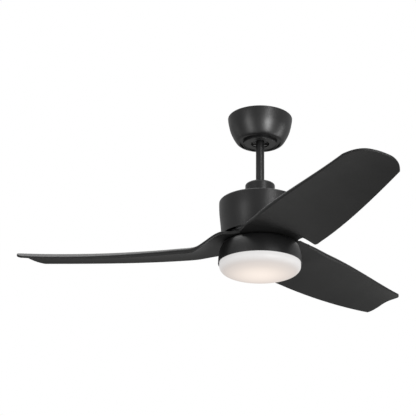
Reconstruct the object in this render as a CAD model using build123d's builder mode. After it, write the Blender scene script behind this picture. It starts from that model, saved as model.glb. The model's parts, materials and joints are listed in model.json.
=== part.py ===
"""48 inch three-blade ceiling fan with an integrated LED light.

Millimetres, +Z up. The origin is on the fan's axis, in the plane of the ceiling.
"""
from build123d import *
from math import cos, radians, sin, tan
import os

os.makedirs("parts", exist_ok=True)

# ---------------------------------------------------------------- driving dimensions
sheet_t = 1.2              # wall of the spun steel covers
clear = 0.3                # gap between curved faces that move past each other

# ceiling bracket
plate_t = 2.5
plate_length = 120.0
plate_width = 52.0
box_screw_spacing = 88.9   # holes of a standard outlet box
box_slot_width = 5.0
box_slot_length = 12.0
wire_hole_r = 12.0
strap_x = 28.5             # inner face of each side strap
strap_width = 40.0
floor_z = -62.0            # underside of the bracket, where the canopy is screwed
canopy_screw_x = 37.5

# ball joint
ball_z = -42.0
ball_r = 27.0
ball_top_z = -30.0
ball_low_z = -61.0
socket_top_z = -47.0
socket_mouth_r = 20.0
cross_pin_z = -33.0
pin_r = 3.15

# downrod
rod_r = 10.67              # half inch pipe, 21.3 mm outside
rod_bore_r = 8.6
rod_top_z = -25.0
rod_low_z = -228.0
clevis_z = -212.0
set_screw_z = -200.0

# canopy and its cover
canopy_r = 83.0
canopy_low_z = -67.0
canopy_mouth_r = 53.6
canopy_floor_z = floor_z - sheet_t
cover_r = 43.6
cover_hole_r = 23.6
cover_low_z = -71.0
cover_face_z = -69.2

# motor housing and coupling
coupling_r = 37.5
coupling_top_z = -182.0
housing_top_z = -232.0
housing_low_z = -323.0
housing_top_r = 102.8
housing_low_r = 96.6
housing_edge_r = 3.4
housing_hem = 2.0

# shaft and bearings
shaft_r = 8.5
shaft_bore_r = 5.2
shaft_top_z = -231.0
shaft_low_z = -362.0
bearing_r = 20.0
bearing_width = 12.0
bearing_pitch_r = 14.25
ball_bearing_r = 3.35
race_inner_r = 12.2
race_outer_r = 16.3
upper_bearing_z = -266.0
lower_bearing_z = -308.0

# rotor and stator
motor_mid_z = -287.0
rotor_top_z = -252.0
rotor_low_z = -322.0
rotor_r = 76.0
rotor_web_t = 4.0
ring_inner_r = 66.0
ring_outer_r = 70.0
magnet_inner_r = 61.0
magnet_count = 16
stator_r = 60.0
stator_height = 18.0
tooth_count = 12
tooth_width = 9.0
cap_screw_circle_r = 80.3

# blades
blade_angles = [300.0, 60.0, 180.0]
blade_span = 600.0
blade_root_top_z = -332.5
blade_root_low_z = -340.0
blade_root_r = 26.0
blade_bend_start = 88.0
blade_bend_end = 170.0
blade_root_t = blade_root_top_z - blade_root_low_z
blade_thick_t = 11.0
blade_tip_t = 5.1
blade_nose = 0.2           # depth of a rounded edge, as a share of the thickness
tip_front_x = 586.0
tip_back_x = 617.0
tip_front_r = 56.0
tip_back_r = 30.0
seam_gap = 0.5
blade_screw_r = 46.0
blade_screw_step = 36.0
blade_thread_r = 2.4
gasket_t = 1.0

# light
light_plate_r = 70.0
light_plate_top_z = -345.5
light_plate_t = 3.0
light_top_z = -343.5
light_rim_z = -393.0
light_rim_r = 103.5
light_shoulder_r = 88.0
light_t = 1.6
light_screw_r = 62.0
heat_sink_top_z = -381.0
heat_sink_t = 2.5
board_t = 1.6
diffuser_r = 100.4
diffuser_t = 2.0
diffuser_top_z = -391.5
diffuser_wall_z = -400.0
diffuser_low_z = -421.5
neck_r = 96.8
tab_inner_r = 98.0
lug_outer_r = 100.3
lug_half_angle = 6.0


# ---------------------------------------------------------------- helpers
def ring_profile(inner_r, outer_r, low_z, high_z):
    """A rectangle in the XZ plane that makes a plain ring when it is revolved."""
    with Locations(((inner_r + outer_r) / 2, (low_z + high_z) / 2)):
        Rectangle(outer_r - inner_r, high_z - low_z)


def upright_screw(shank_r, head_r, head_low_z, head_high_z, shank_z):
    """A pan head screw along Z whose shank ends at shank_z, above or below its head."""
    low = min(head_low_z, shank_z)
    high = max(head_high_z, shank_z)
    with Locations((0, 0, (low + high) / 2)):
        Cylinder(shank_r, high - low)
    with Locations((0, 0, (head_low_z + head_high_z) / 2)):
        Cylinder(head_r, head_high_z - head_low_z)


def polar(radius, degrees):
    """X and Y of a point at a radius and an angle about the fan's axis."""
    return radius * cos(radians(degrees)), radius * sin(radians(degrees))


# ================================================================ ceiling mount
# The bracket: a top plate against the ceiling, two straps, and a floor with a ball socket
strap_height = -plate_t - floor_z
with BuildPart() as ceiling_bracket:
    with BuildSketch(Plane.XY.offset(-plate_t)):
        RectangleRounded(plate_length, plate_width, 12)
        Circle(wire_hole_r, mode=Mode.SUBTRACT)
        with Locations((-box_screw_spacing / 2, 0), (box_screw_spacing / 2, 0)):
            SlotOverall(box_slot_length, box_slot_width, mode=Mode.SUBTRACT)
    extrude(amount=plate_t)
    strap_mid_x = strap_x + plate_t / 2
    strap_mid_z = floor_z + strap_height / 2
    with Locations((-strap_mid_x, 0, strap_mid_z), (strap_mid_x, 0, strap_mid_z)):
        Box(plate_t, strap_width, strap_height)
    with BuildSketch(Plane.XY.offset(floor_z)):
        RectangleRounded(88, strap_width + 4, 8)
        with Locations((-canopy_screw_x, 0), (canopy_screw_x, 0)):
            Circle(2.0, mode=Mode.SUBTRACT)
    extrude(amount=plate_t)
    # The socket is a dished cup that the ball drops into from the side
    with Locations((0, 0, (floor_z + socket_top_z) / 2)):
        Cone(bottom_radius=25, top_radius=strap_x + 1.5, height=socket_top_z - floor_z)
    with Locations((0, 0, ball_z)):
        Sphere(ball_r + clear, mode=Mode.SUBTRACT)
    with Locations((0, 0, floor_z)):
        Cylinder(socket_mouth_r, 40, mode=Mode.SUBTRACT)
    with Locations((15, 21, -plate_t / 2)):
        Cylinder(2.0, plate_t, mode=Mode.SUBTRACT)
    with Locations((0, -30, (floor_z + ball_z) / 2)):
        Box(2 * wire_hole_r, 60, ball_z - floor_z + 1, mode=Mode.SUBTRACT)
    # The key tab stops the ball from turning about the rod
    with Locations((0, 25.4, -52.5)):
        Box(4.8, 6.4, 5)
ceiling_bracket.part.label = "ceiling_bracket"
export_step(ceiling_bracket.part, "parts/ceiling_bracket.step")

# The canopy: a spun bowl with a stepped floor that carries it on the bracket
canopy_outline = [
    (canopy_r, 0),
    (80.7, -16),
    (76.4, -33.5),
    (69.2, -50),
    (62.6, -61),
    (canopy_mouth_r, canopy_low_z),
]
step_r = canopy_mouth_r - 0.9
canopy_inner_r = step_r + sheet_t + 0.1
canopy_hole_r = 32.5
with BuildPart() as canopy:
    with BuildSketch(Plane.XZ):
        with BuildLine():
            Spline(*canopy_outline, tangents=((-0.05, -1), (-1, -0.12)))
            Polyline(
                canopy_outline[-1],
                (step_r, canopy_low_z),
                (step_r, canopy_floor_z),
                (canopy_hole_r, canopy_floor_z),
                (canopy_hole_r, floor_z),
                (canopy_inner_r, floor_z),
                (canopy_inner_r, canopy_low_z + sheet_t),
            )
            Spline(
                (canopy_inner_r, canopy_low_z + sheet_t),
                (61.7, -60.1),
                (68.1, -49.5),
                (75.2, -33),
                (79.5, -15.8),
                (canopy_r - sheet_t, 0),
                tangents=((1, 0.12), (0.05, 1)),
            )
            Line((canopy_r - sheet_t, 0), (canopy_r, 0))
        make_face()
    revolve(axis=Axis.Z)
    with Locations((-canopy_screw_x, 0, floor_z), (canopy_screw_x, 0, floor_z)):
        Cylinder(2.3, 6, mode=Mode.SUBTRACT)
canopy.part.label = "canopy"
export_step(canopy.part, "parts/canopy.step")

# The canopy cover: a shallow dish that hides the canopy screws
with BuildPart() as canopy_cover:
    with BuildSketch(Plane.XZ):
        ring_profile(cover_hole_r, cover_r, cover_face_z, cover_face_z + sheet_t)
        ring_profile(cover_r - sheet_t, cover_r, cover_low_z, canopy_floor_z - 0.1)
        ring_profile(cover_hole_r, cover_hole_r + sheet_t, cover_face_z, cover_face_z + 3.7)
    revolve(axis=Axis.Z)
    lip = canopy_cover.edges().filter_by(GeomType.CIRCLE).group_by(Axis.Z)[0]
    fillet(lip, 0.55)
canopy_cover.part.label = "canopy_cover"
export_step(canopy_cover.part, "parts/canopy_cover.step")

with BuildPart() as canopy_screws:
    with Locations((-canopy_screw_x, 0), (canopy_screw_x, 0)):
        upright_screw(1.95, 3.8, canopy_floor_z - 2.5, canopy_floor_z, floor_z + 4.5)
canopy_screws.part.label = "canopy_screws"
export_step(canopy_screws.part, "parts/canopy_screws.step")

with BuildPart() as ground_screw:
    with Locations((15, 21)):
        upright_screw(1.9, 4.0, -plate_t - 2.8, -plate_t, -0.2)
ground_screw.part.label = "ground_screw"
export_step(ground_screw.part, "parts/ground_screw.step")

# The remote receiver, held between the straps above the ball
receiver_length = 56.0
receiver_width = 30.0
receiver_low_z = -17.0
receiver_split_z = -8.0
receiver_top_z = -4.5
receiver_wall = 1.5
with BuildPart() as receiver_case:
    with BuildSketch(Plane.XY.offset(receiver_low_z)):
        RectangleRounded(receiver_length, receiver_width, 3)
    extrude(amount=receiver_split_z - receiver_low_z)
    with BuildSketch(Plane.XY.offset(receiver_low_z + receiver_wall)):
        RectangleRounded(receiver_length - 2 * receiver_wall, receiver_width - 2 * receiver_wall, 1.5)
    extrude(amount=20, mode=Mode.SUBTRACT)
receiver_case.part.label = "receiver_case"
export_step(receiver_case.part, "parts/receiver_case.step")

with BuildPart() as receiver_lid:
    with BuildSketch(Plane.XY.offset(receiver_split_z)):
        RectangleRounded(receiver_length, receiver_width, 3)
    extrude(amount=receiver_top_z - receiver_split_z)
    with BuildSketch(Plane.XY.offset(receiver_split_z)):
        RectangleRounded(receiver_length - 2 * receiver_wall, receiver_width - 2 * receiver_wall, 1.5)
    extrude(amount=receiver_top_z - receiver_split_z - receiver_wall, mode=Mode.SUBTRACT)
receiver_lid.part.label = "receiver_lid"
export_step(receiver_lid.part, "parts/receiver_lid.step")

with BuildPart() as receiver_board:
    with Locations((0, 0, -14)):
        Box(receiver_length - 2 * receiver_wall - 1.4, receiver_width - 2 * receiver_wall - 1.4, board_t)
    with Locations((-16, 3, -11.2)):
        Box(14, 12, 4.2)
    with Locations((14, -5, -10.7), (14, 6, -10.7)):
        Cylinder(4, 5.2)
receiver_board.part.label = "receiver_board"
export_step(receiver_board.part, "parts/receiver_board.step")

# ================================================================ hanging frame
# The hanger ball, grooved for the key tab and slotted for the cross pin
with BuildPart() as hanger_ball:
    with Locations((0, 0, ball_z)):
        Sphere(ball_r)
    with Locations((0, 0, (ball_top_z + ball_low_z) / 2)):
        Box(80, 80, ball_top_z - ball_low_z, mode=Mode.INTERSECT)
    with Locations((0, 0, ball_z)):
        Cylinder(rod_r + 0.03, 60, mode=Mode.SUBTRACT)
    with Locations((0, 0, cross_pin_z + 5)):
        Box(60, 2 * pin_r + 0.2, 10 + 2 * pin_r + 0.1, mode=Mode.SUBTRACT)
    with Locations((0, -20, ball_z)):
        Cylinder(2.5, 20, rotation=(90, 0, 0), mode=Mode.SUBTRACT)
    # Curved groove, so that the ball can rock past the fixed tab
    with BuildSketch(Plane.YZ.offset(-3)):
        with Locations((0, ball_z)):
            Circle(ball_r + 2)
            Circle(21.0, mode=Mode.SUBTRACT)
            with Locations((-20, 0), (20, 40)):
                Rectangle(40, 80, mode=Mode.SUBTRACT)
    extrude(amount=6, mode=Mode.SUBTRACT)
hanger_ball.part.label = "hanger_ball"
export_step(hanger_ball.part, "parts/hanger_ball.step")

with BuildPart() as ball_cross_pin:
    with Locations((0, 0, cross_pin_z)):
        Cylinder(pin_r, 40, rotation=(0, 90, 0))
    chamfer(ball_cross_pin.edges().filter_by(GeomType.CIRCLE), 0.6)
ball_cross_pin.part.label = "ball_cross_pin"
export_step(ball_cross_pin.part, "parts/ball_cross_pin.step")

with BuildPart() as ball_set_screw:
    with Locations((0, -(rod_r + 7.05), ball_z)):
        Cylinder(2.45, 14, rotation=(90, 0, 0))
    with Locations((0, -(rod_r + 14), ball_z)):
        Box(1, 3, 6, mode=Mode.SUBTRACT)
ball_set_screw.part.label = "ball_set_screw"
export_step(ball_set_screw.part, "parts/ball_set_screw.step")

rod_mid_z = (rod_top_z + rod_low_z) / 2
with BuildPart() as downrod:
    with Locations((0, 0, rod_mid_z)):
        Cylinder(rod_r, rod_top_z - rod_low_z)
        Cylinder(rod_bore_r, rod_top_z - rod_low_z, mode=Mode.SUBTRACT)
    with Locations((0, 0, cross_pin_z), (0, 0, clevis_z)):
        Cylinder(pin_r + 0.05, 40, rotation=(0, 90, 0), mode=Mode.SUBTRACT)
downrod.part.label = "downrod"
export_step(downrod.part, "parts/downrod.step")

# The lead runs from a plug above the rod, down beside both pins, and through the shaft
lead_r = 2.3
lead_y = 5.9
lead_turn_z = -21.6
lead_shaft_y = 2.0
lead_driver_x = 18.5
lead_driver_z = -369.0
with BuildPart() as lead_cable:
    with BuildLine():
        FilletPolyline(
            (14, lead_y, lead_turn_z),
            (0, lead_y, lead_turn_z),
            (0, lead_y, clevis_z - 3.5),
            (0, lead_shaft_y, clevis_z - 21),
            (0, lead_shaft_y, lead_driver_z),
            (lead_driver_x, lead_shaft_y, lead_driver_z),
            radius=[7, 30, 30, 9],
        )
    with BuildSketch(Plane(origin=(14, lead_y, lead_turn_z), z_dir=(-1, 0, 0))):
        Circle(lead_r)
    sweep()
lead_cable.part.label = "lead_cable"
export_step(lead_cable.part, "parts/lead_cable.step")

with BuildPart() as lead_plug:
    with Locations((19.5, lead_y - 1.5, lead_turn_z - 0.6)):
        Box(11, 11, 7)
    fillet(lead_plug.edges().filter_by(Axis.X), 1)
lead_plug.part.label = "lead_plug"
export_step(lead_plug.part, "parts/lead_plug.step")

# The coupling cover hides the yoke
with BuildPart() as coupling_cover:
    with BuildSketch(Plane.XZ):
        with BuildLine():
            FilletPolyline(
                (rod_r + 0.4, coupling_top_z),
                (coupling_r, coupling_top_z),
                (coupling_r, housing_top_z),
                radius=5,
            )
            Line((coupling_r, housing_top_z), (coupling_r - sheet_t, housing_top_z))
            FilletPolyline(
                (coupling_r - sheet_t, housing_top_z),
                (coupling_r - sheet_t, coupling_top_z - sheet_t),
                (rod_r + 0.4, coupling_top_z - sheet_t),
                radius=5 - sheet_t,
            )
            Line((rod_r + 0.4, coupling_top_z - sheet_t), (rod_r + 0.4, coupling_top_z))
        make_face()
    revolve(axis=Axis.Z)
coupling_cover.part.label = "coupling_cover"
export_step(coupling_cover.part, "parts/coupling_cover.step")

# The yoke joins the rod, the motor shaft and the housing
yoke_r = 16.5
yoke_top_z = -189.0
rod_seat_z = rod_low_z - 0.5
yoke_flange_r = 31.0
yoke_flange_t = 4.0
yoke_screw_r = 24.0
housing_screw_angles = [30.0, 150.0, 270.0]
with BuildPart() as motor_yoke:
    with BuildSketch(Plane.XZ):
        ring_profile(0, yoke_r, housing_top_z, yoke_top_z)
        ring_profile(0, yoke_flange_r, housing_top_z, housing_top_z + yoke_flange_t)
        ring_profile(0, 15, -243, housing_top_z)
    revolve(axis=Axis.Z)
    with Locations((0, 0, (rod_seat_z + yoke_top_z) / 2)):
        Cylinder(rod_r + 0.03, yoke_top_z - rod_seat_z, mode=Mode.SUBTRACT)
    with Locations((0, 0, -236)):
        Cylinder(shaft_r + 0.02, 20, mode=Mode.SUBTRACT)
    with Locations((0, 0, clevis_z)):
        Cylinder(pin_r + 0.05, 80, rotation=(0, 90, 0), mode=Mode.SUBTRACT)
    with Locations((0, 0, set_screw_z)):
        Cylinder(2.55, 80, rotation=(90, 0, 0), mode=Mode.SUBTRACT)
    for angle in housing_screw_angles:
        with Locations((*polar(yoke_screw_r, angle), housing_top_z)):
            Cylinder(2.2, 20, mode=Mode.SUBTRACT)
motor_yoke.part.label = "motor_yoke"
export_step(motor_yoke.part, "parts/motor_yoke.step")

clevis_end_x = 24.0
hitch_x = 20.5
with BuildPart() as clevis_pin:
    with Locations((0, 0, clevis_z)):
        Cylinder(pin_r, 2 * clevis_end_x, rotation=(0, 90, 0))
    with Locations((-clevis_end_x + 1, 0, clevis_z)):
        Cylinder(5, 2, rotation=(0, 90, 0))
    with Locations((hitch_x, 0, clevis_z)):
        Cylinder(1.15, 10, mode=Mode.SUBTRACT)
clevis_pin.part.label = "clevis_pin"
export_step(clevis_pin.part, "parts/clevis_pin.step")

# Hairpin: a straight leg through the pin, a bend, and a leg that hugs the pin
hitch_wire_r = 1.0
hug_r = pin_r + hitch_wire_r + 0.15
with BuildPart() as hitch_pin:
    with BuildLine(Plane.YZ.offset(hitch_x)):
        Line((0, clevis_z - 10), (0, clevis_z + 10))
        JernArc((0, clevis_z + 10), (0, 1), 2.6, -180)
        ThreePointArc(
            (5.2, clevis_z + 10),
            (hug_r, clevis_z),
            (5.2, clevis_z - 8),
        )
    with BuildSketch(Plane(origin=(hitch_x, 0, clevis_z - 10), z_dir=(0, 0, 1))):
        Circle(hitch_wire_r)
    sweep(transition=Transition.ROUND)
hitch_pin.part.label = "hitch_pin"
export_step(hitch_pin.part, "parts/hitch_pin.step")

with BuildPart() as yoke_set_screws:
    for side in (-1, 1):
        with Locations((0, side * (rod_r + 7.3), set_screw_z)):
            Cylinder(2.5, 14.5, rotation=(90, 0, 0))
        with BuildSketch(Plane.XZ.offset(-side * (rod_r + 14.5))):
            with Locations((0, set_screw_z)):
                Rectangle(6, 6)
        extrude(amount=-side * 3)
yoke_set_screws.part.label = "yoke_set_screws"
export_step(yoke_set_screws.part, "parts/yoke_set_screws.step")

with BuildPart() as yoke_lock_nuts:
    for side in (-1, 1):
        with BuildSketch(Plane.XZ.offset(-side * (yoke_r + 0.1))):
            with Locations((0, set_screw_z)):
                RegularPolygon(4.6, 6)
                Circle(2.55, mode=Mode.SUBTRACT)
        extrude(amount=-side * 4)
yoke_lock_nuts.part.label = "yoke_lock_nuts"
export_step(yoke_lock_nuts.part, "parts/yoke_lock_nuts.step")

# The hollow shaft, with a shoulder between the bearings that carries the stator
shaft_mid_z = (shaft_top_z + shaft_low_z) / 2
shoulder_top_z = upper_bearing_z - bearing_width / 2
shoulder_low_z = lower_bearing_z + bearing_width / 2
with BuildPart() as motor_shaft:
    with Locations((0, 0, shaft_mid_z)):
        Cylinder(shaft_r, shaft_top_z - shaft_low_z)
    with Locations((0, 0, (shoulder_top_z + shoulder_low_z) / 2)):
        Cylinder(12, shoulder_top_z - shoulder_low_z)
    with Locations((0, 0, shaft_mid_z)):
        Cylinder(shaft_bore_r, shaft_top_z - shaft_low_z, mode=Mode.SUBTRACT)
motor_shaft.part.label = "motor_shaft"
export_step(motor_shaft.part, "parts/motor_shaft.step")

housing_plate_t = 3.0
housing_hole_r = 15.2
housing_plate_top_z = housing_top_z - sheet_t
with BuildPart() as housing_plate:
    with BuildSketch(Plane.XY.offset(housing_plate_top_z - housing_plate_t)):
        Circle(58)
        Circle(housing_hole_r, mode=Mode.SUBTRACT)
        for angle in housing_screw_angles:
            with Locations(polar(yoke_screw_r, angle)):
                Circle(1.95, mode=Mode.SUBTRACT)
        with PolarLocations(40, 6):
            Circle(7, mode=Mode.SUBTRACT)
    extrude(amount=housing_plate_t)
housing_plate.part.label = "housing_plate"
export_step(housing_plate.part, "parts/housing_plate.step")

# The motor housing: a spun drum, open below, that narrows towards a hemmed lower edge
edge_start_r = housing_top_r - housing_edge_r
edge_low_z = housing_top_z - housing_edge_r
hem_inner_r = housing_low_r - sheet_t - 1.0
with BuildPart() as motor_housing:
    with BuildSketch(Plane.XZ):
        with BuildLine():
            Line((housing_hole_r, housing_top_z), (edge_start_r, housing_top_z))
            RadiusArc((edge_start_r, housing_top_z), (housing_top_r, edge_low_z), housing_edge_r)
            Spline(
                (housing_top_r, edge_low_z),
                (101.9, -262),
                (98.8, -291),
                (housing_low_r, housing_low_z),
                tangents=((0, -1), (-0.03, -1)),
            )
            Polyline(
                (housing_low_r, housing_low_z),
                (hem_inner_r, housing_low_z),
                (hem_inner_r, housing_low_z + housing_hem),
                (housing_low_r - sheet_t, housing_low_z + housing_hem),
            )
            Spline(
                (housing_low_r - sheet_t, housing_low_z + housing_hem),
                (98.8 - sheet_t, -291),
                (101.9 - sheet_t, -262),
                (housing_top_r - sheet_t, edge_low_z),
                tangents=((0.03, 1), (0, 1)),
            )
            RadiusArc(
                (housing_top_r - sheet_t, edge_low_z),
                (edge_start_r, housing_plate_top_z),
                -(housing_edge_r - sheet_t),
            )
            Line((edge_start_r, housing_plate_top_z), (housing_hole_r, housing_plate_top_z))
            Line((housing_hole_r, housing_plate_top_z), (housing_hole_r, housing_top_z))
        make_face()
    revolve(axis=Axis.Z)
    for angle in housing_screw_angles:
        with Locations((*polar(yoke_screw_r, angle), housing_top_z)):
            Cylinder(2.2, 8, mode=Mode.SUBTRACT)
motor_housing.part.label = "motor_housing"
export_step(motor_housing.part, "parts/motor_housing.step")

flange_top_z = housing_top_z + yoke_flange_t
with BuildPart() as housing_screws:
    for angle in housing_screw_angles:
        with Locations(polar(yoke_screw_r, angle)):
            upright_screw(1.9, 3.8, flange_top_z, flange_top_z + 2.6, -238)
housing_screws.part.label = "housing_screws"
export_step(housing_screws.part, "parts/housing_screws.step")

# Motor control board, hung from the housing plate
control_board_top_z = -241.5
control_board_low_z = control_board_top_z - board_t
standoff_r = 52.0
with BuildPart() as control_board:
    with BuildSketch(Plane.XY.offset(control_board_low_z)):
        Circle(60)
        Circle(18, mode=Mode.SUBTRACT)
        with PolarLocations(standoff_r, 3):
            Circle(1.6, mode=Mode.SUBTRACT)
    extrude(amount=board_t)
control_board.part.label = "control_board"
export_step(control_board.part, "parts/control_board.step")

with BuildPart() as board_components:
    for place, size in (
        ((30, 18), (12, 10, 3.2)),
        ((-28, 24), (9, 9, 2.4)),
        ((-36, -12), (14, 8, 4.2)),
        ((8, -40), (18, 7, 3.6)),
    ):
        with Locations((*place, control_board_low_z - size[2] / 2)):
            Box(*size)
    for angle in (75, 95, 115):
        with Locations((*polar(44, angle), control_board_low_z - 2.2)):
            Cylinder(3.5, 4.4)
board_components.part.label = "board_components"
export_step(board_components.part, "parts/board_components.step")

standoff_top_z = housing_plate_top_z - housing_plate_t
with BuildPart() as board_standoffs:
    with PolarLocations(standoff_r, 3):
        with Locations((0, 0, (standoff_top_z + control_board_top_z) / 2)):
            Cylinder(3, standoff_top_z - control_board_top_z)
        with Locations((0, 0, control_board_low_z - 0.9)):
            Cylinder(2.8, 1.8)
        with Locations((0, 0, control_board_low_z)):
            Cylinder(1.5, 6)
board_standoffs.part.label = "board_standoffs"
export_step(board_standoffs.part, "parts/board_standoffs.step")


def tooth_sketch():
    """The stator's star shape: a hub, twelve teeth, and a pole shoe on each."""
    Circle(36)
    with PolarLocations(46, tooth_count):
        Rectangle(24, tooth_width)
    with BuildSketch(mode=Mode.PRIVATE) as shoes:
        Circle(stator_r)
        Circle(stator_r - 4, mode=Mode.SUBTRACT)
        with PolarLocations(stator_r - 2, tooth_count, start_angle=180 / tooth_count):
            Rectangle(12, 5, mode=Mode.SUBTRACT)
    add(shoes.sketch)
    Circle(12.02, mode=Mode.SUBTRACT)


stator_low_z = motor_mid_z - stator_height / 2
with BuildPart() as stator_core:
    with BuildSketch(Plane.XY.offset(stator_low_z)):
        tooth_sketch()
    extrude(amount=stator_height)
stator_core.part.label = "stator_core"
export_step(stator_core.part, "parts/stator_core.step")

insulator_t = 1.8
with BuildPart() as stator_insulators:
    with BuildSketch(Plane.XY.offset(stator_low_z - insulator_t)):
        tooth_sketch()
    extrude(amount=insulator_t)
    with BuildSketch(Plane.XY.offset(stator_low_z + stator_height)):
        tooth_sketch()
    extrude(amount=insulator_t)
stator_insulators.part.label = "stator_insulators"
export_step(stator_insulators.part, "parts/stator_insulators.step")

coil_gap_height = stator_height + 2 * insulator_t + 0.2
coil_wall = 3.8
with BuildPart() as stator_windings:
    with PolarLocations(46, tooth_count):
        with Locations((0, 0, motor_mid_z)):
            Box(17, tooth_width + 2 * coil_wall + 0.2, coil_gap_height + 2 * coil_wall)
            Box(17, tooth_width + 0.2, coil_gap_height, mode=Mode.SUBTRACT)
stator_windings.part.label = "stator_windings"
export_step(stator_windings.part, "parts/stator_windings.step")


# ---------------------------------------------------------------- bearings
def race_groove(centre_z):
    """The groove that the balls run in."""
    with Locations((0, 0, centre_z)):
        Torus(bearing_pitch_r, ball_bearing_r + 0.1, mode=Mode.SUBTRACT)


for place, centre_z in (("upper", upper_bearing_z), ("lower", lower_bearing_z)):
    with BuildPart() as inner_ring:
        with BuildSketch(Plane.XZ):
            ring_profile(
                shaft_r + 0.01, race_inner_r, centre_z - bearing_width / 2, centre_z + bearing_width / 2
            )
        revolve(axis=Axis.Z)
        race_groove(centre_z)
    inner_ring.part.label = f"{place}_bearing_inner_ring"
    export_step(inner_ring.part, f"parts/{place}_bearing_inner_ring.step")

    with BuildPart() as outer_ring:
        with BuildSketch(Plane.XZ):
            ring_profile(
                race_outer_r, bearing_r, centre_z - bearing_width / 2, centre_z + bearing_width / 2
            )
        revolve(axis=Axis.Z)
        race_groove(centre_z)
    outer_ring.part.label = f"{place}_bearing_outer_ring"
    export_step(outer_ring.part, f"parts/{place}_bearing_outer_ring.step")

    with BuildPart() as balls:
        with PolarLocations(bearing_pitch_r, 8):
            with Locations((0, 0, centre_z)):
                Sphere(ball_bearing_r)
    balls.part.label = f"{place}_bearing_balls"
    export_step(balls.part, f"parts/{place}_bearing_balls.step")

    with BuildPart() as cage:
        with BuildSketch(Plane.XZ):
            ring_profile(bearing_pitch_r - 0.9, bearing_pitch_r + 0.9, centre_z - 4.6, centre_z + 4.6)
        revolve(axis=Axis.Z)
        with PolarLocations(bearing_pitch_r, 8):
            with Locations((0, 0, centre_z)):
                Cylinder(ball_bearing_r + 0.1, 8, rotation=(0, 90, 0), mode=Mode.SUBTRACT)
    cage.part.label = f"{place}_bearing_cage"
    export_step(cage.part, f"parts/{place}_bearing_cage.step")

# ================================================================ rotor
ear_t = 6.0
hub_depth = 18.0


def rotor_cap(web_outer_z, web_inner_z, hub_end_z, bearing_end_z, ear_far_z):
    """A dished end cap: web, side wall, bearing hub and screw ears, recessed for the steel ring."""
    with BuildPart() as cap:
        with BuildSketch(Plane.XZ):
            ring_profile(13.2, rotor_r, *sorted((web_outer_z, web_inner_z)))
            ring_profile(ring_outer_r + 0.05, rotor_r, *sorted((web_outer_z, motor_mid_z)))
            ring_profile(13.2, 26, *sorted((web_outer_z, hub_end_z)))
        revolve(axis=Axis.Z)
        with BuildSketch(Plane.XZ):
            ring_profile(0, bearing_r + 0.02, *sorted((bearing_end_z, hub_end_z)))
        revolve(axis=Axis.Z, mode=Mode.SUBTRACT)
        with PolarLocations(cap_screw_circle_r, 6):
            with Locations((0, 0, (motor_mid_z + ear_far_z) / 2)):
                Cylinder(5, ear_t)
                Cylinder(2.0, ear_t, mode=Mode.SUBTRACT)
    return cap.part


with BuildPart() as rotor_top_cap:
    add(
        rotor_cap(
            rotor_top_z,
            rotor_top_z - rotor_web_t,
            rotor_top_z - hub_depth - 4,
            upper_bearing_z + bearing_width / 2,
            motor_mid_z + ear_t,
        )
    )
    with PolarLocations(44, 8):
        with Locations((0, 0, rotor_top_z - rotor_web_t / 2)):
            Cylinder(7, rotor_web_t, mode=Mode.SUBTRACT)
rotor_top_cap.part.label = "rotor_top_cap"
export_step(rotor_top_cap.part, "parts/rotor_top_cap.step")

pad_low_z = blade_root_top_z + gasket_t
with BuildPart() as rotor_bottom_cap:
    add(
        rotor_cap(
            rotor_low_z,
            rotor_low_z + rotor_web_t,
            rotor_low_z + hub_depth + 4,
            lower_bearing_z - bearing_width / 2,
            motor_mid_z - ear_t,
        )
    )
    # The pad that the blade roots are screwed to
    with BuildSketch(Plane.XZ):
        ring_profile(30, 64, pad_low_z, rotor_low_z)
    revolve(axis=Axis.Z)
    for blade_angle in blade_angles:
        for step in (-1, 0, 1):
            with Locations((*polar(blade_screw_r, blade_angle + step * blade_screw_step), pad_low_z)):
                Cylinder(blade_thread_r + 0.02, 18, mode=Mode.SUBTRACT)
rotor_bottom_cap.part.label = "rotor_bottom_cap"
export_step(rotor_bottom_cap.part, "parts/rotor_bottom_cap.step")

with BuildPart() as rotor_ring:
    with BuildSketch(Plane.XZ):
        ring_profile(ring_inner_r, ring_outer_r, motor_mid_z - 18, motor_mid_z + 18)
    revolve(axis=Axis.Z)
rotor_ring.part.label = "rotor_ring"
export_step(rotor_ring.part, "parts/rotor_ring.step")

with BuildPart() as rotor_magnets:
    with BuildSketch(Plane.XY.offset(motor_mid_z - 10)):
        Circle(ring_inner_r - 0.05)
        Circle(magnet_inner_r, mode=Mode.SUBTRACT)
        with PolarLocations(64, magnet_count):
            Rectangle(12, 1.5, mode=Mode.SUBTRACT)
    extrude(amount=20)
rotor_magnets.part.label = "rotor_magnets"
export_step(rotor_magnets.part, "parts/rotor_magnets.step")

with BuildPart() as rotor_screws:
    with PolarLocations(cap_screw_circle_r, 6):
        upright_screw(
            1.95, 3.6, motor_mid_z - ear_t - 2.5, motor_mid_z - ear_t, motor_mid_z + ear_t + 1
        )
rotor_screws.part.label = "rotor_screws"
export_step(rotor_screws.part, "parts/rotor_screws.step")

with BuildPart() as blade_gaskets:
    with BuildSketch(Plane.XY.offset(blade_root_top_z)):
        Circle(63)
        Circle(31, mode=Mode.SUBTRACT)
        for blade_angle in blade_angles:
            with Locations(Rot(0, 0, blade_angle + 60)):
                with Locations((47, 0)):
                    Rectangle(50, 3, mode=Mode.SUBTRACT)
            for step in (-1, 0, 1):
                with Locations(polar(blade_screw_r, blade_angle + step * blade_screw_step)):
                    Circle(2.8, mode=Mode.SUBTRACT)
    extrude(amount=gasket_t)
blade_gaskets.part.label = "blade_gaskets"
export_step(blade_gaskets.part, "parts/blade_gaskets.step")


# ---------------------------------------------------------------- blades
# A blade lies along its own X axis. Its leading edge is on the -Y side and high,
# its trailing edge on the +Y side and low.
def leading_y(x):
    q = x / blade_span
    root_flare = 5.9 * (max(160 - x, 0) / 110) ** 2
    return -59.6 - 246.6 * q + 328.2 * q**2 - 153.6 * q**3 - root_flare


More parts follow.
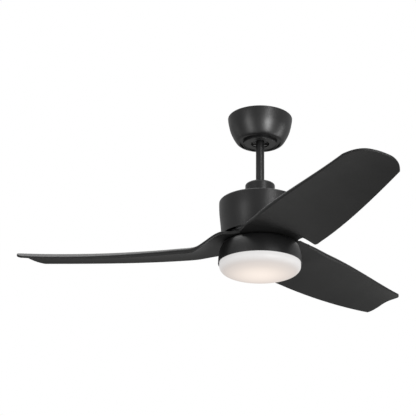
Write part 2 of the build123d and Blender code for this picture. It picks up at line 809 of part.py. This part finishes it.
def trailing_y(x):
    q = x / blade_span
    return 78.2 - 39.1 * q - 104.7 * q**2 + 53.3 * q**3


def leading_z(x):
    q = x / blade_span
    return -344.9 - 9.6 * q - 8.8 * q**2 + 14.9 * q**3


def trailing_z(x):
    q = x / blade_span
    return -374.2 - 51.2 * q + 38.2 * q**2 + 15.7 * q**3


def blade_bend(x):
    """0 on the flat root, 1 on the pitched blade, with a smooth bend between them."""
    t = min(max((x - blade_bend_start) / (blade_bend_end - blade_bend_start), 0), 1)
    return t * t * (3 - 2 * t)


def blade_under_z(x, y):
    """Height of the blade's underside: pitched, twisted and cambered beyond the root."""
    across = (y - leading_y(x)) / (trailing_y(x) - leading_y(x))
    camber = 10.4 + 3.4 * x / blade_span
    pitched = leading_z(x) + (trailing_z(x) - leading_z(x)) * across
    pitched += 4 * camber * across * (1 - across)
    bend = blade_bend(x)
    return (1 - bend) * blade_root_low_z + bend * pitched


def blade_thickness(x):
    """Thin at the root, thickest where the bend ends, and tapering towards the tip."""
    taper = (blade_thick_t - blade_tip_t) * max(x - 153, 0) / 450
    bend = blade_bend(x)
    return (1 - bend) * blade_root_t + bend * (blade_thick_t - taper)


def blade_section(x):
    """A closed cambered section across the blade with rounded edges."""
    front, back = leading_y(x), trailing_y(x)
    thick = blade_thickness(x)
    front_in, back_in = front + blade_nose * thick, back - blade_nose * thick
    across = [front_in + (back_in - front_in) * k / 4 for k in range(5)]
    under = [(y, blade_under_z(x, y)) for y in across]
    over = [(y, z + thick) for y, z in reversed(under)]
    with BuildSketch(Plane(origin=(x, 0, 0), x_dir=(0, 1, 0), z_dir=(1, 0, 0))) as section:
        with BuildLine():
            Spline(*under)
            ThreePointArc(under[-1], (back, blade_under_z(x, back) + thick / 2), over[0])
            Spline(*over)
            ThreePointArc(over[-1], (front, blade_under_z(x, front) + thick / 2), under[0])
        make_face()
    return section.sketch


bend_places = [blade_bend_start + (blade_bend_end - blade_bend_start) * k / 7 for k in range(8)]
blade_places = [190, 225, 270, 330, 390, 450, 510, 570, 630]
with BuildPart() as blade:
    # The pitched blade beyond the root
    for place in bend_places + blade_places:
        add(blade_section(place))
    loft()
    # Its tip is cut on a slant, with a large round at each corner
    with BuildSketch(Plane.XY.offset(-430)):
        with BuildLine():
            FilletPolyline(
                (60, -170),
                (500, -170),
                (500, leading_y(500) - 1),
                (tip_front_x, leading_y(tip_front_x)),
                (tip_back_x, trailing_y(tip_back_x)),
                (500, trailing_y(500) + 1),
                (500, 140),
                (60, 140),
                radius=[0.5, 0.5, tip_front_r, tip_back_r, 0.5, 0.5],
            )
            Line((60, 140), (60, -170))
        make_face()
    extrude(amount=130, mode=Mode.INTERSECT)
    # The flat root: a third of a disc, so that three roots close the ring
    front_corner = polar(100, -60)
    back_corner = polar(94, 60)
    front_end = (blade_bend_start, leading_y(blade_bend_start))
    back_end = (blade_bend_start, trailing_y(blade_bend_start))
    with BuildSketch(Plane.XY.offset(blade_root_low_z)):
        with BuildLine():
            Line(polar(blade_root_r, -60), front_corner)
            Spline(front_corner, (70, -88), front_end)
            Line(front_end, back_end)
            Spline(back_end, (74, 68.5), (59, 72.5), back_corner)
            Line(back_corner, polar(blade_root_r, 60))
            RadiusArc(polar(blade_root_r, 60), polar(blade_root_r, -60), blade_root_r)
        make_face()
    extrude(amount=blade_root_t)
    # Half of the seam's gap is cut from each side of the root
    for side in (-1, 1):
        with BuildSketch(Plane.XY.offset(blade_root_low_z - 5)):
            with Locations(Rot(0, 0, side * 60)):
                with Locations((60, 0)):
                    Rectangle(140, 2 * seam_gap)
        extrude(amount=20, mode=Mode.SUBTRACT)
    for step in (-1, 0, 1):
        with Locations((*polar(blade_screw_r, step * blade_screw_step), blade_root_low_z)):
            Cylinder(2.6, 20, mode=Mode.SUBTRACT)

for number, blade_angle in enumerate(blade_angles, start=1):
    turned_blade = Rot(0, 0, blade_angle) * blade.part
    turned_blade.label = f"blade_{number}"
    export_step(turned_blade, f"parts/blade_{number}.step")

with BuildPart() as blade_screws:
    for blade_angle in blade_angles:
        for step in (-1, 0, 1):
            with Locations(polar(blade_screw_r, blade_angle + step * blade_screw_step)):
                upright_screw(
                    blade_thread_r, 4.6, blade_root_low_z - 2.5, blade_root_low_z, rotor_low_z - 1
                )
blade_screws.part.label = "blade_screws"
export_step(blade_screws.part, "parts/blade_screws.step")

# ================================================================ light
light_plate_low_z = light_plate_top_z - light_plate_t
light_floor_z = light_plate_low_z - light_t
light_angles = [0.0, 120.0, 240.0]
post_angles = [60.0, 180.0, 300.0]
with BuildPart() as light_mounting_plate:
    with BuildSketch(Plane.XZ):
        ring_profile(shaft_r + 0.02, light_plate_r, light_plate_low_z, light_plate_top_z)
        ring_profile(shaft_r + 0.02, 16, light_plate_low_z - 5.5, light_plate_top_z)
    revolve(axis=Axis.Z)
    for angle in light_angles + post_angles:
        with Locations((*polar(light_screw_r, angle), light_plate_top_z)):
            Cylinder(2.0, 20, mode=Mode.SUBTRACT)
    with PolarLocations(38, 6):
        with Locations((0, 0, light_plate_top_z)):
            Cylinder(8, 10, mode=Mode.SUBTRACT)
light_mounting_plate.part.label = "light_mounting_plate"
export_step(light_mounting_plate.part, "parts/light_mounting_plate.step")

with BuildPart() as shaft_nut:
    with BuildSketch(Plane.XY.offset(light_plate_low_z - 11.5)):
        RegularPolygon(13.8, 6)
        Circle(shaft_r + 0.02, mode=Mode.SUBTRACT)
    extrude(amount=6)
shaft_nut.part.label = "shaft_nut"
export_step(shaft_nut.part, "parts/shaft_nut.step")

# The light housing: a spun bell with a recessed top, a round shoulder and bayonet tabs
tab_low_z = -390.5
tab_top_z = -388.3
recess_r = 71.5
light_hole_r = 50.0
with BuildPart() as light_housing:
    with BuildSketch(Plane.XZ):
        with BuildLine():
            Polyline(
                (light_hole_r, light_plate_low_z),
                (recess_r, light_plate_low_z),
                (recess_r, light_top_z),
                (light_shoulder_r, light_top_z),
            )
            EllipticalCenterArc(
                (light_shoulder_r, light_rim_z),
                light_rim_r - light_shoulder_r,
                light_top_z - light_rim_z,
                start_angle=0,
                arc_size=90,
            )
            Line((light_rim_r, light_rim_z), (light_rim_r - light_t, light_rim_z))
            EllipticalCenterArc(
                (light_shoulder_r, light_rim_z),
                light_rim_r - light_t - light_shoulder_r,
                light_top_z - light_t - light_rim_z,
                start_angle=0,
                arc_size=90,
            )
            Polyline(
                (light_shoulder_r, light_top_z - light_t),
                (recess_r + light_t, light_top_z - light_t),
                (recess_r + light_t, light_floor_z),
                (light_hole_r, light_floor_z),
                (light_hole_r, light_plate_low_z),
            )
        make_face()
    revolve(axis=Axis.Z)
    for angle in light_angles + post_angles:
        with Locations((*polar(light_screw_r, angle), light_floor_z)):
            Cylinder(2.1, 10, mode=Mode.SUBTRACT)
    # Bayonet tabs, each with a stop at one end
    for angle in light_angles:
        turn = Plane.XZ.rotated((0, 0, angle - 8))
        with BuildSketch(turn):
            ring_profile(tab_inner_r, light_rim_r - 1.0, tab_low_z, tab_top_z)
        revolve(axis=Axis.Z, revolution_arc=16.5)
        with BuildSketch(Plane.XZ.rotated((0, 0, angle + lug_half_angle + 0.3))):
            ring_profile(tab_inner_r, light_rim_r - 1.0, tab_low_z, tab_top_z + 2.6)
        revolve(axis=Axis.Z, revolution_arc=2.2)
light_housing.part.label = "light_housing"
export_step(light_housing.part, "parts/light_housing.step")

with BuildPart() as light_housing_screws:
    for angle in light_angles:
        with Locations(polar(light_screw_r, angle)):
            upright_screw(1.95, 3.8, light_floor_z - 2.6, light_floor_z, light_plate_top_z + 0.5)
light_housing_screws.part.label = "light_housing_screws"
export_step(light_housing_screws.part, "parts/light_housing_screws.step")

with BuildPart() as light_posts:
    for angle in post_angles:
        with Locations((*polar(light_screw_r, angle), (heat_sink_top_z + light_floor_z) / 2)):
            Cylinder(4, light_floor_z - heat_sink_top_z)
        with Locations((*polar(light_screw_r, angle), (light_floor_z + light_plate_top_z) / 2)):
            Cylinder(1.95, light_plate_top_z - light_floor_z)
    for angle in post_angles:
        with Locations((*polar(light_screw_r, angle), heat_sink_top_z + 5)):
            Cylinder(1.6, 10, mode=Mode.SUBTRACT)
light_posts.part.label = "light_posts"
export_step(light_posts.part, "parts/light_posts.step")

with BuildPart() as led_driver:
    with Locations((lead_driver_x + 27, 0, heat_sink_top_z + 10)):
        Box(54, 36, 20)
    fillet(led_driver.edges().filter_by(Axis.Z), 3)
    chamfer(led_driver.faces().sort_by(Axis.Z)[-1].edges(), 1)
led_driver.part.label = "led_driver"
export_step(led_driver.part, "parts/led_driver.step")

heat_sink_low_z = heat_sink_top_z - heat_sink_t
with BuildPart() as heat_sink:
    with BuildSketch(Plane.XY.offset(heat_sink_low_z)):
        Circle(92)
        for angle in post_angles:
            with Locations(polar(light_screw_r, angle)):
                Circle(1.7, mode=Mode.SUBTRACT)
    extrude(amount=heat_sink_t)
heat_sink.part.label = "heat_sink"
export_step(heat_sink.part, "parts/heat_sink.step")

led_board_low_z = heat_sink_low_z - board_t
with BuildPart() as led_board:
    with BuildSketch(Plane.XY.offset(led_board_low_z)):
        Circle(86)
        for angle in post_angles:
            with Locations(polar(light_screw_r, angle)):
                Circle(1.7, mode=Mode.SUBTRACT)
    extrude(amount=board_t)
led_board.part.label = "led_board"
export_step(led_board.part, "parts/led_board.step")

with BuildPart() as led_chips:
    for circle_r, count in ((24, 8), (48, 16), (76, 24)):
        with PolarLocations(circle_r, count, start_angle=180 / count):
            with Locations((0, 0, led_board_low_z - 0.35)):
                Box(2.8, 3.5, 0.7)
led_chips.part.label = "led_chips"
export_step(led_chips.part, "parts/led_chips.step")

with BuildPart() as led_board_screws:
    for angle in post_angles:
        with Locations(polar(light_screw_r, angle)):
            upright_screw(1.5, 3.0, led_board_low_z - 1.8, led_board_low_z, heat_sink_top_z + 6)
led_board_screws.part.label = "led_board_screws"
export_step(led_board_screws.part, "parts/led_board_screws.step")

# The diffuser: an opal dish with a neck and three bayonet lugs
lug_low_z = tab_top_z + clear
lug_top_z = lug_low_z + 2.4
diffuser_inner_r = diffuser_r - diffuser_t
diffuser_depth = diffuser_wall_z - diffuser_low_z


def bowl_curve(wall_r, depth):
    """Points of a flat-bottomed bowl, from its wall to its centre."""
    shares = [0, 0.3, 0.56, 0.74, 0.86, 0.94, 0.985]
    bottom = [(wall_r * k, diffuser_wall_z - depth * (1 - k**6) ** 0.5) for k in shares]
    return [(wall_r, diffuser_wall_z)] + bottom[::-1]


with BuildPart() as diffuser:
    with BuildSketch(Plane.XZ):
        with BuildLine():
            Polyline(
                (neck_r - diffuser_t, lug_top_z),
                (neck_r, lug_top_z),
                (neck_r, diffuser_top_z),
                (diffuser_r, diffuser_top_z),
                (diffuser_r, diffuser_wall_z),
            )
            Spline(*bowl_curve(diffuser_r, diffuser_depth), tangents=((0, -1), (-1, 0)))
            Line((0, diffuser_low_z), (0, diffuser_low_z + diffuser_t))
            Spline(
                *bowl_curve(diffuser_inner_r, diffuser_depth - diffuser_t)[::-1],
                tangents=((1, 0), (0, 1)),
            )
            Polyline(
                (diffuser_inner_r, diffuser_wall_z),
                (diffuser_inner_r, diffuser_top_z - diffuser_t),
                (neck_r - diffuser_t, diffuser_top_z - diffuser_t),
                (neck_r - diffuser_t, lug_top_z),
            )
        make_face()
    revolve(axis=Axis.Z)
    for angle in light_angles:
        with BuildSketch(Plane.XZ.rotated((0, 0, angle - lug_half_angle))):
            ring_profile(neck_r - 0.5, lug_outer_r, lug_low_z, lug_top_z)
        revolve(axis=Axis.Z, revolution_arc=2 * lug_half_angle)
diffuser.part.label = "diffuser"
export_step(diffuser.part, "parts/diffuser.step")
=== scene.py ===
"""A 48 inch ceiling fan with an LED light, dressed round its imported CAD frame. Metres, +Z up."""
import json
import math

import bpy
import numpy as np
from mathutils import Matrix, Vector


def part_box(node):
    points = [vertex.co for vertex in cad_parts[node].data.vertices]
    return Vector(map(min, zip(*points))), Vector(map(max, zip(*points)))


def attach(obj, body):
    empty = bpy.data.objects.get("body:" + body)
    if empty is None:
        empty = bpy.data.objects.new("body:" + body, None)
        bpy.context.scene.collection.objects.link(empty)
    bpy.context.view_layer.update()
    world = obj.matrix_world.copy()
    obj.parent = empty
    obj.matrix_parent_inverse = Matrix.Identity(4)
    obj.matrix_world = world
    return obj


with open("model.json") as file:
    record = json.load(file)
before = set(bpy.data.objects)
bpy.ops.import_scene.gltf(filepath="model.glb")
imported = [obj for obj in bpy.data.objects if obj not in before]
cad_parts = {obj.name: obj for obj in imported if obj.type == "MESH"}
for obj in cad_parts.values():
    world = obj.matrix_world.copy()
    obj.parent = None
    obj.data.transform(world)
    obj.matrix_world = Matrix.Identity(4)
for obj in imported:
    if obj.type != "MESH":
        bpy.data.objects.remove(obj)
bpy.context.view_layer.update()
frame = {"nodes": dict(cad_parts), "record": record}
nodes = frame["nodes"]


# ---------------------------------------------------------------- node material helpers
BLOTCH_SCALE = 18.0
COAT_ROUGHNESS = 0.3
GRAIN_RELIEF = 0.0004
OPAL_ROUGHNESS = (0.46, 0.54)
OPAL_RELIEF = 0.0002
OPAL_SPECULAR = 0.2


def new_material(name):
    """An empty material with a Principled shader and object coordinates."""
    material = bpy.data.materials.new(name)
    material.use_nodes = True
    tree = material.node_tree
    shader = tree.nodes["Principled BSDF"]
    coords = tree.nodes.new("ShaderNodeTexCoord")
    return material, tree, shader, coords.outputs["Object"]


def noise(tree, coords, scale, detail, roughness=0.5):
    """A noise texture's value."""
    node = tree.nodes.new("ShaderNodeTexNoise")
    node.inputs["Scale"].default_value = scale
    node.inputs["Detail"].default_value = detail
    node.inputs["Roughness"].default_value = roughness
    tree.links.new(coords, node.inputs["Vector"])
    return node.outputs["Fac"]


def stretched(tree, coords, scale):
    """Coordinates scaled by a different amount along each axis."""
    node = tree.nodes.new("ShaderNodeMapping")
    node.inputs["Scale"].default_value = scale
    tree.links.new(coords, node.inputs["Vector"])
    return node.outputs["Vector"]


def ranged(tree, value, low, high, start=0.3, end=0.7):
    """A texture value mapped to a range."""
    node = tree.nodes.new("ShaderNodeMapRange")
    node.inputs["From Min"].default_value = start
    node.inputs["From Max"].default_value = end
    node.inputs["To Min"].default_value = low
    node.inputs["To Max"].default_value = high
    tree.links.new(value, node.inputs["Value"])
    return node.outputs["Result"]


def mixed(tree, value, first, second):
    """A colour between two, by a texture value."""
    node = tree.nodes.new("ShaderNodeMix")
    node.data_type = "RGBA"
    node.inputs["A"].default_value = (*first, 1)
    node.inputs["B"].default_value = (*second, 1)
    tree.links.new(value, node.inputs["Factor"])
    return node.outputs["Result"]


def bumped(tree, shader, height, strength, distance):
    """Fine relief on the shader, from a texture value."""
    node = tree.nodes.new("ShaderNodeBump")
    node.inputs["Strength"].default_value = strength
    node.inputs["Distance"].default_value = distance
    tree.links.new(height, node.inputs["Height"])
    tree.links.new(node.outputs["Normal"], shader.inputs["Normal"])


def surface(name, dark, light, rough, grain, bump, metallic=0.0, specular=0.5, coat=0.0,
            stretch=(1, 1, 1)):
    """A solid finish: two close tones, roughness that varies, and a fine relief of one grain."""
    material, tree, shader, coords = new_material(name)
    coords = stretched(tree, coords, stretch)
    blotch = noise(tree, coords, BLOTCH_SCALE, 3.0)
    fine = noise(tree, coords, grain, 3.0, 0.6)
    tone = mixed(tree, ranged(tree, blotch, 0, 1), dark, light)
    tree.links.new(tone, shader.inputs["Base Color"])
    tree.links.new(ranged(tree, fine, *rough), shader.inputs["Roughness"])
    shader.inputs["Metallic"].default_value = metallic
    shader.inputs["Specular IOR Level"].default_value = specular
    shader.inputs["Coat Weight"].default_value = coat
    shader.inputs["Coat Roughness"].default_value = COAT_ROUGHNESS
    bumped(tree, shader, fine, bump, GRAIN_RELIEF)
    return material


def faded(tree, value, stops):
    """A colour from a list of (position, colour) stops."""
    node = tree.nodes.new("ShaderNodeValToRGB")
    node.color_ramp.interpolation = "B_SPLINE"
    elements = node.color_ramp.elements
    elements[0].position, elements[1].position = stops[0][0], stops[-1][0]
    for position, _ in stops[1:-1]:
        elements.new(position)
    for element, (_, colour) in zip(elements, stops):
        element.color = (*colour, 1)
    tree.links.new(value, node.inputs["Fac"])
    return node.outputs["Color"]


def axis_distance(tree, coords, reach):
    """Distance from the fan's axis, as a share of a reach."""
    length = tree.nodes.new("ShaderNodeVectorMath")
    length.operation = "LENGTH"
    tree.links.new(stretched(tree, coords, (1, 1, 0)), length.inputs[0])
    return ranged(tree, length.outputs["Value"], 0, 1, 0, reach)


def opal_painted_light(name, base, painted_face_stops, painted_face_reach, painted_glow_stops, painted_glow_reach):
    """Opal plastic with painted light given off as emission: a pale band on its wall, a greyer face,
    and a warm glow in its middle.
    """
    material, tree, shader, coords = new_material(name)
    fine = noise(tree, coords, 900.0, 2.0)
    tree.links.new(ranged(tree, fine, *OPAL_ROUGHNESS), shader.inputs["Roughness"])
    bumped(tree, shader, fine, 0.05, OPAL_RELIEF)
    face = faded(tree, axis_distance(tree, coords, painted_face_reach), painted_face_stops)
    glow = faded(tree, axis_distance(tree, coords, painted_glow_reach), painted_glow_stops)
    # painted light: the face's tones and the warm glow, added together and given off as emission
    both = tree.nodes.new("ShaderNodeMix")
    both.data_type = "RGBA"
    both.blend_type = "ADD"
    both.inputs["Factor"].default_value = 1.0
    tree.links.new(face, both.inputs["A"])
    tree.links.new(glow, both.inputs["B"])
    tree.links.new(both.outputs["Result"], shader.inputs["Emission Color"])
    shader.inputs["Emission Strength"].default_value = 1.0
    shader.inputs["Base Color"].default_value = (*base, 1)
    shader.inputs["Specular IOR Level"].default_value = OPAL_SPECULAR
    return material


# ---------------------------------------------------------------- materials by slot
# shares of the reach from the axis to the diffuser's wall, and the painted light given off there: a
# greyer face and a paler band at the wall
DIFFUSER_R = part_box("diffuser")[1][0]
OPAL_PAINTED_FACE = [
    (0.0, (0.42, 0.395, 0.385)),
    (0.86, (0.42, 0.395, 0.385)),
    (0.93, (0.45, 0.435, 0.43)),
    (0.99, (0.56, 0.56, 0.565)),
]
# the painted warm glow in the middle, over shares of its own reach
PAINTED_GLOW_REACH = 0.108
OPAL_PAINTED_GLOW = [
    (0.0, (0.42, 0.34, 0.275)),
    (0.38, (0.36, 0.285, 0.22)),
    (0.76, (0.11, 0.075, 0.05)),
    (1.0, (0.0, 0.0, 0.0)),
]
finishes = {
    "satin_black": surface("satin_black_paint", (0.0030, 0.0030, 0.0031), (0.0042, 0.0042, 0.0044),
                           (0.35, 0.42), 1400.0, 0.10, specular=0.42),
    "blade_black": surface("blade_black_moulding", (0.0045, 0.0045, 0.0045), (0.0060, 0.0060, 0.0060),
                           (0.42, 0.50), 1800.0, 0.16, specular=0.17),
    # painted light: the diffuser's tones are given off as emission over a dark base
    "opal": opal_painted_light("opal_diffuser", (0.09, 0.089, 0.088), OPAL_PAINTED_FACE, DIFFUSER_R,
                      OPAL_PAINTED_GLOW, PAINTED_GLOW_REACH),
    "zinc_steel": surface("zinc_plated_steel", (0.24, 0.24, 0.235), (0.31, 0.307, 0.295),
                          (0.32, 0.48), 500.0, 0.12, metallic=1.0),
    "green_screw": surface("green_ground_screw", (0.03, 0.24, 0.07), (0.05, 0.32, 0.10),
                           (0.3, 0.42), 600.0, 0.1, metallic=0.6),
    "black_steel": surface("black_oxide_steel", (0.02, 0.02, 0.021), (0.035, 0.035, 0.036),
                           (0.32, 0.48), 700.0, 0.12, metallic=0.7),
    "case_plastic": surface("case_moulding", (0.03, 0.03, 0.032), (0.045, 0.045, 0.047),
                            (0.42, 0.55), 1200.0, 0.2),
    "circuit_board": surface("circuit_board", (0.015, 0.12, 0.05), (0.03, 0.19, 0.08),
                             (0.22, 0.36), 300.0, 0.08, coat=0.4),
    "component_black": surface("component_moulding", (0.02, 0.02, 0.02), (0.035, 0.035, 0.035),
                               (0.38, 0.5), 900.0, 0.15),
    "lead_jacket": surface("lead_jacket", (0.022, 0.022, 0.022), (0.03, 0.03, 0.03),
                           (0.4, 0.52), 800.0, 0.12),
    "nylon_white": surface("white_nylon", (0.74, 0.72, 0.66), (0.80, 0.78, 0.73),
                           (0.38, 0.5), 700.0, 0.08),
    "cast_zinc": surface("cast_zinc", (0.26, 0.26, 0.27), (0.36, 0.36, 0.37),
                         (0.42, 0.6), 420.0, 0.35, metallic=0.9),
    "shaft_steel": surface("ground_shaft_steel", (0.46, 0.46, 0.47), (0.56, 0.56, 0.57),
                           (0.18, 0.32), 300.0, 0.1, metallic=1.0, stretch=(1, 1, 12)),
    "lamination_steel": surface("laminated_steel", (0.20, 0.20, 0.21), (0.30, 0.30, 0.31),
                                (0.35, 0.5), 90.0, 0.3, metallic=0.9, stretch=(1, 1, 22)),
    "copper_wire": surface("copper_winding", (0.50, 0.19, 0.08), (0.68, 0.29, 0.13),
                           (0.25, 0.4), 240.0, 0.6, metallic=0.9, stretch=(1, 1, 9)),
    "bearing_steel": surface("bearing_steel", (0.62, 0.62, 0.64), (0.70, 0.70, 0.72),
                             (0.10, 0.2), 260.0, 0.04, metallic=1.0),
    "cast_aluminium": surface("cast_aluminium", (0.24, 0.245, 0.25), (0.32, 0.325, 0.33),
                              (0.50, 0.62), 520.0, 0.3, metallic=1.0),
    "magnet": surface("sintered_magnet", (0.07, 0.07, 0.075), (0.11, 0.11, 0.115),
                      (0.45, 0.6), 600.0, 0.25),
    "gasket_rubber": surface("gasket_rubber", (0.02, 0.02, 0.02), (0.03, 0.03, 0.03),
                             (0.6, 0.75), 900.0, 0.2),
    "board_white": surface("white_led_board", (0.80, 0.80, 0.78), (0.86, 0.86, 0.84),
                           (0.25, 0.38), 300.0, 0.05),
    "led_phosphor": surface("led_phosphor", (0.85, 0.62, 0.12), (0.90, 0.70, 0.20),
                            (0.25, 0.35), 500.0, 0.05),
}
for part in frame["record"]["subparts"]:
    shape = nodes[part["node"]].data
    shape.materials.clear()
    shape.materials.append(finishes[part["material_slot"]])


# ---------------------------------------------------------------- rolled rims
RIM_THICKNESS = 0.0016


def rolled_rim(node, body, inset):
    """A rolled edge on a round node's foot: a thin ring of round section, inset from its side."""
    low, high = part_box(node)
    bpy.ops.mesh.primitive_torus_add(
        major_radius=high[0] - inset,
        minor_radius=RIM_THICKNESS / 2,
        major_segments=256,
        minor_segments=20,
        location=(0, 0, low[2]),
    )
    rim = bpy.context.object
    rim.name = node + "_rim"
    bpy.ops.object.shade_smooth()
    rim.data.materials.append(finishes["satin_black"])
    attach(rim, body)


rolled_rim("canopy_cover", "ceiling_mount", 0.0006)
rolled_rim("light_housing", "hanging_frame", 0.0007)


# ---------------------------------------------------------------- stage, lights and camera
LIGHTS_AIM_Z = -0.25


def area_light(name, azimuth, distance, height, width, tall, power):
    """A softbox that faces the fan. Azimuth 0 is the camera's side, positive to its right."""
    data = bpy.data.lights.new(name, "AREA")
    data.shape = "RECTANGLE"
    data.size = width
    data.size_y = tall
    data.energy = power
    light = bpy.data.objects.new(name, data)
    bpy.context.scene.collection.objects.link(light)
    turn = math.radians(azimuth)
    place = np.array([math.sin(turn) * distance, -math.cos(turn) * distance, height])
    light.location = place
    aim = np.array([0, 0, LIGHTS_AIM_Z]) - place
    light.rotation_euler = (
        math.acos(-aim[2] / np.linalg.norm(aim)), 0, math.atan2(aim[1], aim[0]) - math.pi / 2
    )
    light.visible_camera = False


# name, azimuth in degrees, distance, height, width, length, watts
area_light("strip_right", 31, 2.3, -1.10, 0.52, 1.8, 100)
area_light("strip_high", 32, 2.3, 0.70, 0.22, 1.2, 12)
area_light("strip_left", -43, 2.3, -0.95, 0.60, 2.1, 29)
area_light("side_right", 96, 2.4, -1.2, 0.5, 1.8, 27)
area_light("side_left", -104, 2.4, -0.8, 0.5, 1.8, 3)

# a broad light overhead, for the upper sides that the photo does not show
top_data = bpy.data.lights.new("top_soft", "AREA")
top_data.shape = "SQUARE"
top_data.size = 6.0
top_data.energy = 210
top_light = bpy.data.objects.new("top_soft", top_data)
top_light.location = (0, 0.6, 2.6)
top_light.visible_camera = False
bpy.context.scene.collection.objects.link(top_light)

# the world lights the fan at half of the brightness that the camera sees behind it
world_light, world_seen = 0.50, 1.0
world = bpy.data.worlds.new("studio")
bpy.context.scene.world = world
world.use_nodes = True
world_tree = world.node_tree
background = world_tree.nodes["Background"]
background.inputs["Color"].default_value = (1, 1, 1, 1)
light_path = world_tree.nodes.new("ShaderNodeLightPath")
brightness = world_tree.nodes.new("ShaderNodeMapRange")
brightness.inputs["To Min"].default_value = world_light
brightness.inputs["To Max"].default_value = world_seen
world_tree.links.new(light_path.outputs["Is Camera Ray"], brightness.inputs["Value"])
world_tree.links.new(brightness.outputs["Result"], background.inputs["Strength"])

room_height = 4.0
floor_size = 90.0
bpy.ops.mesh.primitive_plane_add(size=floor_size, location=(0, 0, -room_height))
floor = bpy.context.object
floor.name = "studio_floor"
floor.data.materials.append(
    surface("pale_floor", (0.78, 0.78, 0.77), (0.82, 0.82, 0.81), (0.6, 0.7), 40.0, 0.02)
)

camera_data = bpy.data.cameras.new("camera")
camera_data.lens = 94.27
camera_data.sensor_width = 36
camera_data.shift_x = -0.1252
camera = bpy.data.objects.new("camera", camera_data)
bpy.context.scene.collection.objects.link(camera)
# below the fan and looking up at it, as in the photo
camera_orbit = math.radians(0.4)
camera_rise = math.radians(21.46)
camera_distance = 2.542
camera_z = -1.2447
camera.location = (
    math.sin(camera_orbit) * camera_distance, -math.cos(camera_orbit) * camera_distance, camera_z
)
camera.rotation_euler = (math.pi / 2 + camera_rise, 0, camera_orbit)
bpy.context.scene.camera = camera
bpy.context.scene.view_settings.view_transform = "Standard"
